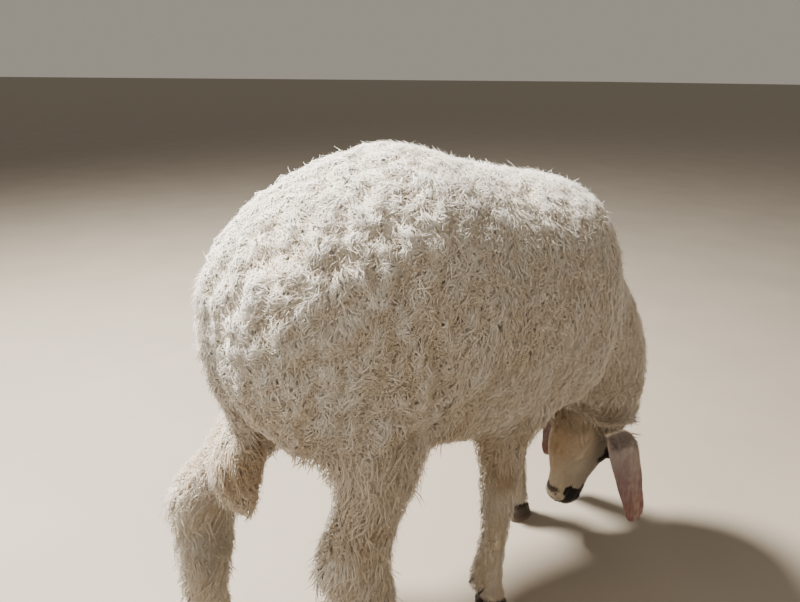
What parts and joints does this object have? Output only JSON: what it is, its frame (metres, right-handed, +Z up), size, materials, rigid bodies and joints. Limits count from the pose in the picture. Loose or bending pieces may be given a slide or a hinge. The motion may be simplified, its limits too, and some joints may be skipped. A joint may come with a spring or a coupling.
{
  "type": "woolly long-eared sheep",
  "caption": "Life-size still model of a woolly white long-eared sheep, walking with its head lowered to graze, standing on its own hooves.",
  "frame": {"origin": "bottom centre of the model's box, on the floor", "axes": "+X is the way the sheep faces, +Y its left side, +Z up"},
  "size_m": [0.9384, 0.3992, 0.8739],
  "materials": {
    "fleece": "curly cream-white wool, matt",
    "face_hair": "short flat white hair with black eye and nose patches",
    "ear_skin": "thin pink skin under sparse white hair",
    "hoof_horn": "dark ringed horn, dull",
    "eye": "wet amber eye, polished"
  },
  "bodies": {
    "root": {"ear_left": "ear_skin", "ear_right": "ear_skin", "eye_left": "eye", "eye_right": "eye", "head": "face_hair", "hoof_fore_left_a": "hoof_horn", "hoof_fore_left_b": "hoof_horn", "hoof_fore_right_a": "hoof_horn", "hoof_fore_right_b": "hoof_horn", "hoof_hind_left_a": "hoof_horn", "hoof_hind_left_b": "hoof_horn", "hoof_hind_right_a": "hoof_horn", "hoof_hind_right_b": "hoof_horn", "leg_fore_left": "fleece", "leg_fore_right": "fleece", "leg_hind_left": "fleece", "leg_hind_right": "fleece", "neck": "fleece", "shank_fore_left": "fleece", "shank_fore_right": "fleece", "shank_hind_left": "fleece", "shank_hind_right": "fleece", "tail": "fleece", "trunk": "fleece"}
  },
  "joints": []
}
